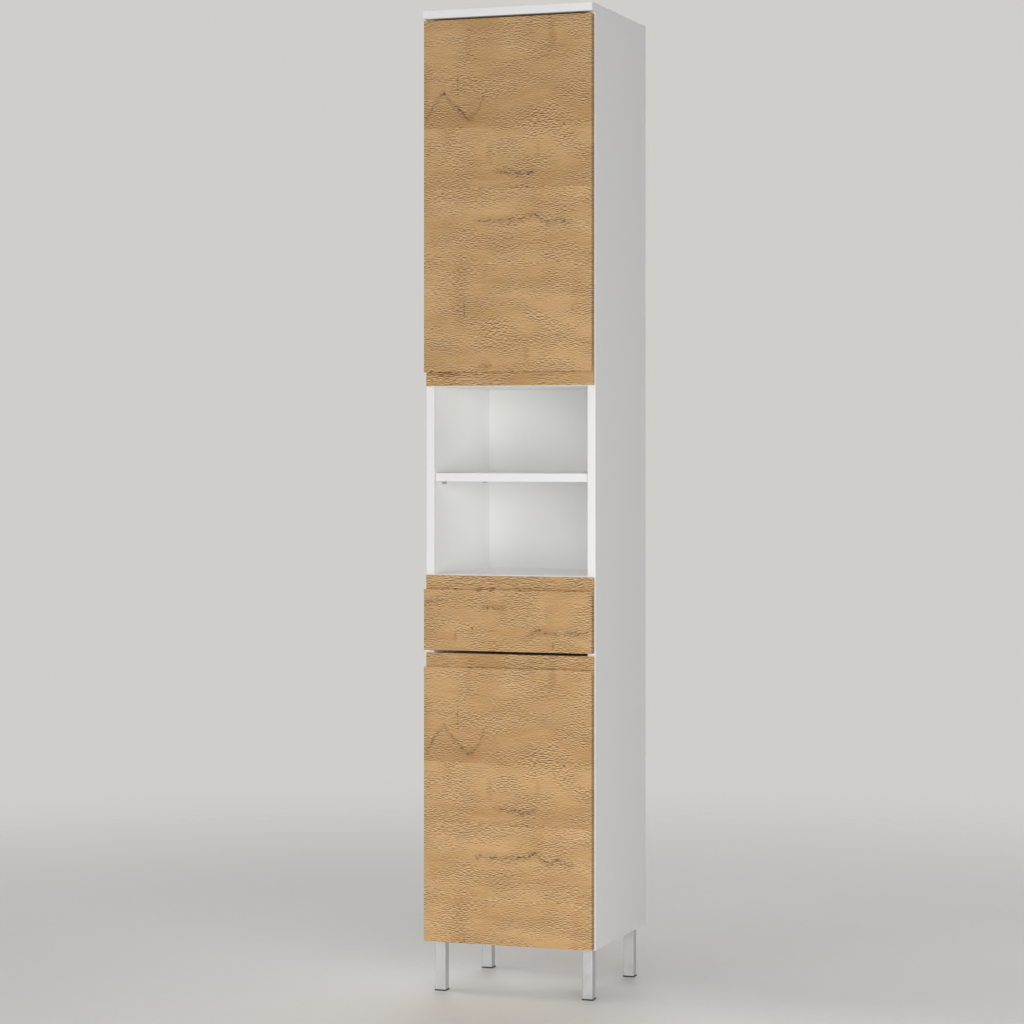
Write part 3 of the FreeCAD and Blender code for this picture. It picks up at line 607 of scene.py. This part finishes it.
def facing(point, direction, spin=0.0):
    """The matrix that sets local Z along the direction at the point."""
    turn = Vector(direction).to_track_quat("Z", "Y").to_matrix().to_4x4()
    return Matrix.Translation(point) @ turn @ Matrix.Rotation(spin, 4, "Z")


def in_scene(name, data):
    thing = bpy.data.objects.new(name, data)
    bpy.context.scene.collection.objects.link(thing)
    return thing


def piece(name, body, slot, mesh, material=None):
    """Turns the mesh under construction into an object that rides on the body."""
    bmesh.ops.recalc_face_normals(mesh, faces=mesh.faces[:])
    data = bpy.data.meshes.new(name)
    mesh.to_mesh(data)
    mesh.free()
    for polygon in data.polygons:
        polygon.use_smooth = True
    data.set_sharp_from_angle(angle=SMOOTH_UP_TO)
    data.materials.append(material or FINISH[slot])
    thing = in_scene(name, data)
    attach(thing, body)


def screws(name, body, places, direction, radius, height=0.0016):
    """A set of cross-recess screw heads, each turned as a driver happened to leave it."""
    mesh = bmesh.new()
    for point in places:
        crossed_head(mesh, facing(point, direction, SPIN.uniform(0, math.pi)), radius, height)
    piece(name, body, "steel", mesh)


def caps(name, body, places, direction):
    """Plastic covers over the cam fittings."""
    mesh = bmesh.new()
    for point in places:
        turned(mesh, CAP_OUTLINE, facing(point, direction))
    piece(name, body, "roller_nylon", mesh)


def carcass_trim():
    """Caps on the lower or upper faces of the fixed boards, and on the sides below the top."""
    from_side, from_front, from_rear, below_top = 0.034, 0.052, 0.040, 0.034
    top_cap_ys = (-0.100, 0.105)
    left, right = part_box("side_left")[1].x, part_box("side_right")[0].x
    for label, direction, spread in (("bottom_panel", -1, 1.0), ("drawer_divider", -1, 1.0),
                                     ("open_bottom_panel", -1, 0.75), ("open_top_panel", 1, 1.0)):
        low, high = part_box(label)
        level = low.z if direction < 0 else high.z
        spots = [(x * spread, y, level) for x in (left + from_side, right - from_side)
                 for y in (low.y + from_front, high.y - from_rear)]
        caps("%s_cam_caps" % label, "carcass", spots, (0, 0, direction))
    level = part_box("top_panel")[0].z - below_top
    for side, x, inward in (("left", left, 1), ("right", right, -1)):
        caps("top_cam_caps_%s" % side, "carcass", [(x, y, level) for y in top_cap_ys], (inward, 0, 0))


def leg_trim():
    """Three screws up through each leg's plate, on the sides that the tube leaves free."""
    near, far, plate = 0.0075, 0.0345, 0.002
    for label in ("leg_front_left", "leg_front_right", "leg_back_left", "leg_back_right"):
        low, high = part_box(label)
        inward_x = 1 if low.x < 0 else -1
        inward_y = 1 if low.y < 0 else -1
        outer_x = low.x if inward_x > 0 else high.x
        outer_y = low.y if inward_y > 0 else high.y
        spots = [(outer_x + inward_x * a, outer_y + inward_y * b, high.z - plate)
                 for a, b in ((far, near), (far, far), (near, far))]
        screws("%s_screws" % label, "carcass", spots, (0, 0, -1), radius=0.0036, height=0.0014)


def hinge_trim(name, body):
    """The screws of a door's two hinges: through the plates, in the arms and beside the cups."""
    half_plate, plate_sheet = 0.024, 0.0024
    plate_y, plate_rise = -0.113, 0.016
    arm_ys = (-0.130, -0.100)
    cup_x, cup_rise = -0.1415, 0.024
    low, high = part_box("%s_hinge_plates" % name)
    arm_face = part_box("%s_hinge_arms" % name)[1].x
    cup_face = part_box("%s_hinge_cups" % name)[1].y
    levels = (low.z + half_plate, high.z - half_plate)
    screws("%s_hinge_plate_screws" % name, "carcass",
           [(low.x + plate_sheet, plate_y, z + rise) for z in levels for rise in (-plate_rise, plate_rise)],
           (1, 0, 0), radius=0.0044)
    screws("%s_hinge_arm_screws" % name, "carcass", [(arm_face, y, z) for z in levels for y in arm_ys],
           (1, 0, 0), radius=0.0036, height=0.0012)
    screws("%s_cup_screws" % name, body,
           [(cup_x, cup_face, z + rise) for z in levels for rise in (-cup_rise, cup_rise)],
           (0, 1, 0), radius=0.0040, height=0.0014)


def bumper_trim(label, body):
    """Clear soft domes stuck on a front's back, where it closes on the carcass."""
    bumper_x, from_end = 0.162, 0.014
    low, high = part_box(label)
    mesh = bmesh.new()
    for z in (low.z + from_end, high.z - from_end):
        turned(mesh, BUMPER_OUTLINE, facing((bumper_x, high.y, z), (0, 1, 0)))
    piece("%s_bumpers" % label, body, "roller_nylon", mesh, CLEAR)


def runner_trim():
    """Screws through the cabinet rails into the sides, and up through the drawer rails."""
    cabinet_web, cabinet_ys, below_rail_top = 0.1528, (-0.110, -0.014, 0.114), 0.0085
    drawer_flange, drawer_ys = 0.1355, (-0.120, -0.002, 0.116)
    for side, sign in (("left", -1), ("right", 1)):
        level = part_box("cabinet_rail_%s" % side)[1].z - below_rail_top
        screws("cabinet_rail_screws_%s" % side, "carcass",
               [(sign * cabinet_web, y, level) for y in cabinet_ys], (-sign, 0, 0),
               radius=0.0036, height=0.0014)
        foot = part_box("drawer_rail_%s" % side)[0].z
        screws("drawer_rail_screws_%s" % side, "drawer",
               [(sign * drawer_flange, y, foot) for y in drawer_ys], (0, 0, -1),
               radius=0.0034, height=0.0012)


def drawer_trim():
    """Caps inside the drawer's sides near its front, and screws through them into its back."""
    cap_from_front, cap_from_foot, cap_from_top = 0.034, 0.030, 0.024
    screw_from_rear, screw_from_foot, screw_from_top = 0.008, 0.034, 0.022
    for side, sign in (("left", -1), ("right", 1)):
        low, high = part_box("drawer_side_%s" % side)
        inner, outer = (high.x, low.x) if sign < 0 else (low.x, high.x)
        caps("drawer_cam_caps_%s" % side, "drawer",
             [(inner, low.y + cap_from_front, z) for z in (low.z + cap_from_foot, high.z - cap_from_top)],
             (-sign, 0, 0))
        screws("drawer_back_screws_%s" % side, "drawer",
               [(outer, high.y - screw_from_rear, z)
                for z in (low.z + screw_from_foot, high.z - screw_from_top)],
               (sign, 0, 0), radius=0.0038, height=0.0008)


def back_trim():
    """Nails that hold the back panel to the fixed boards, and the wall bracket's screws."""
    nail_xs = (-0.110, 0.0, 0.110)
    bracket_xs, from_rear, from_top = (-0.012, 0.012), 0.012, 0.002
    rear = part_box("back_panel")[1].y
    mesh = bmesh.new()
    for label in ("bottom_panel", "drawer_divider", "open_bottom_panel", "open_top_panel"):
        low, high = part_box(label)
        for x in nail_xs:
            turned(mesh, NAIL_OUTLINE, facing((x, rear, (low.z + high.z) / 2), (0, 1, 0)), steps=14)
    piece("back_nails", "carcass", "steel", mesh)
    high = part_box("wall_bracket")[1]
    screws("wall_bracket_screws", "carcass",
           [(x, high.y - from_rear, high.z - from_top) for x in bracket_xs], (0, 0, -1), radius=0.0040)


carcass_trim()
leg_trim()
hinge_trim("upper", "upper_door")
hinge_trim("lower", "lower_door")
bumper_trim("upper_door", "upper_door")
bumper_trim("lower_door", "lower_door")
bumper_trim("drawer_front", "drawer")
runner_trim()
drawer_trim()
back_trim()


# ---------------------------------------------------------------- floor, light and camera

BACKDROP = srgb(208, 206, 202)

# the floor's radius, and where it starts to fade into the backdrop and is gone
FLOOR_RADIUS, FADE_STARTS, FADE_ENDS = 4.0, 1.0, 3.6

# light from all round: its colour and level
AMBIENT_COLOUR, AMBIENT = (1.0, 0.995, 0.985, 1.0), 0.04

# suns: azimuth, elevation and spread in degrees, and level
SUNS = {
    "key": (-32, 8, 40, 0.21),
    "left": (-82, 24, 46, 0.22),
    "back": (190, 12, 46, 0.38),
    "overhead": (-20, 80, 46, 0.20),
}

# the panel before the cabinet
FRONT_PANEL = {"azimuth": 35, "distance": 4.0, "height": 0.85, "size": (3.2, 1.6), "level": 0.59}

# the camera's place, its turn to the left in degrees, its lens in millimetres and its shift
CAMERA_PLACE = (1.8583, -5.3494, 1.0375)
CAMERA_TURN = 19.63
LENS, SENSOR, SHIFT = 102.54, 36.0, -0.0614

# light has to find its way round the white walls of the open compartments
BOUNCES = 20


def studio_floor():
    """A pale floor that keeps the shadow and fades into the backdrop further out."""
    mesh = bmesh.new()
    bmesh.ops.create_circle(mesh, cap_ends=True, segments=96, radius=FLOOR_RADIUS)
    data = bpy.data.meshes.new("floor")
    mesh.to_mesh(data)
    mesh.free()
    floor = in_scene("floor", data)
    stone = Finish("floor", roughness=0.7, specular=0.2)
    cloud = stone.noise(stone.place, 1.2, detail=4.0)
    grit = stone.noise(stone.place, 40, detail=4.0)
    tone = stone.mix(cloud, srgb(234, 232, 229), srgb(240, 238, 235))
    stone.colour(stone.lay(tone, stone.ramp(grit, 0.5, 0.75), 0.12, srgb(218, 216, 212)))
    stone.bump(grit, 0.0004, 0.3)
    distance = stone.add("ShaderNodeVectorMath", operation="LENGTH")
    stone.connect(stone.place, distance.inputs[0])
    blend = stone.add("ShaderNodeMixShader")
    stone.connect(stone.ramp(distance.outputs["Value"], FADE_STARTS, FADE_ENDS), blend.inputs[0])
    stone.connect(stone.shader.outputs[0], blend.inputs[1])
    stone.connect(stone.add("ShaderNodeBsdfTransparent").outputs[0], blend.inputs[2])
    stone.connect(blend.outputs[0], stone.nodes["Material Output"].inputs["Surface"])
    data.materials.append(stone.material)


def studio_world():
    """Even light from all round; the camera, gloss and glass see the plain backdrop instead."""
    world = bpy.data.worlds.new("studio")
    bpy.context.scene.world = world
    world.use_nodes = True
    nodes, links = world.node_tree.nodes, world.node_tree.links
    nodes.clear()
    rays = nodes.new("ShaderNodeLightPath")
    sees_backdrop = rays.outputs["Is Camera Ray"]
    for kind in ("Is Glossy Ray", "Is Transmission Ray"):
        either = nodes.new("ShaderNodeMath")
        either.operation = "ADD"
        either.use_clamp = True
        links.new(sees_backdrop, either.inputs[0])
        links.new(rays.outputs[kind], either.inputs[1])
        sees_backdrop = either.outputs[0]
    mixed = nodes.new("ShaderNodeMixShader")
    links.new(sees_backdrop, mixed.inputs[0])
    for k, (colour, strength) in enumerate(((AMBIENT_COLOUR, AMBIENT), (BACKDROP, 1.0)), start=1):
        background = nodes.new("ShaderNodeBackground")
        background.inputs["Color"].default_value = colour
        background.inputs["Strength"].default_value = strength
        links.new(background.outputs[0], mixed.inputs[k])
    output = nodes.new("ShaderNodeOutputWorld")
    links.new(mixed.outputs[0], output.inputs["Surface"])


def soft_sun(name, azimuth, elevation, spread, level):
    """Light from one side of the sky: azimuth 0 is from the front and 90 from the right. The level
    is how bright it alone makes a white surface that faces it."""
    data = bpy.data.lights.new(name, "SUN")
    data.energy = level * math.pi
    data.angle = math.radians(spread)
    side, height = math.radians(azimuth), math.radians(elevation)
    source = Vector((math.sin(side) * math.cos(height), -math.cos(side) * math.cos(height),
                     math.sin(height)))
    lamp = in_scene(name, data)
    lamp.rotation_mode = "QUATERNION"
    lamp.rotation_quaternion = (-source).to_track_quat("-Z", "Y")


def softbox(name, azimuth, distance, height, size, level):
    """A broad panel that faces the cabinet from nearby, so that its light falls off with height."""
    data = bpy.data.lights.new(name, "AREA")
    data.shape = "RECTANGLE"
    data.size, data.size_y = size
    data.energy = level * (math.pi * distance) ** 2
    side = math.radians(azimuth)
    lamp = in_scene(name, data)
    lamp.location = (distance * math.sin(side), -distance * math.cos(side), height)
    lamp.rotation_euler = (math.radians(90), 0.0, side)
    lamp.visible_camera = False


def camera():
    """A long lens that looks level from a little above mid height, to the right of the front."""
    data = bpy.data.cameras.new("camera")
    data.sensor_width = SENSOR
    data.lens = LENS
    data.shift_y = SHIFT
    data.clip_end = 60.0
    viewer = in_scene("camera", data)
    viewer.location = CAMERA_PLACE
    viewer.rotation_euler = (math.radians(90), 0.0, math.radians(CAMERA_TURN))
    bpy.context.scene.camera = viewer


studio_floor()
studio_world()
for sun_name, sun_setting in SUNS.items():
    soft_sun(sun_name, *sun_setting)
softbox("front", **FRONT_PANEL)
camera()
bpy.context.scene.view_settings.view_transform = "Standard"
bpy.context.scene.cycles.max_bounces = BOUNCES
bpy.context.scene.cycles.diffuse_bounces = BOUNCES
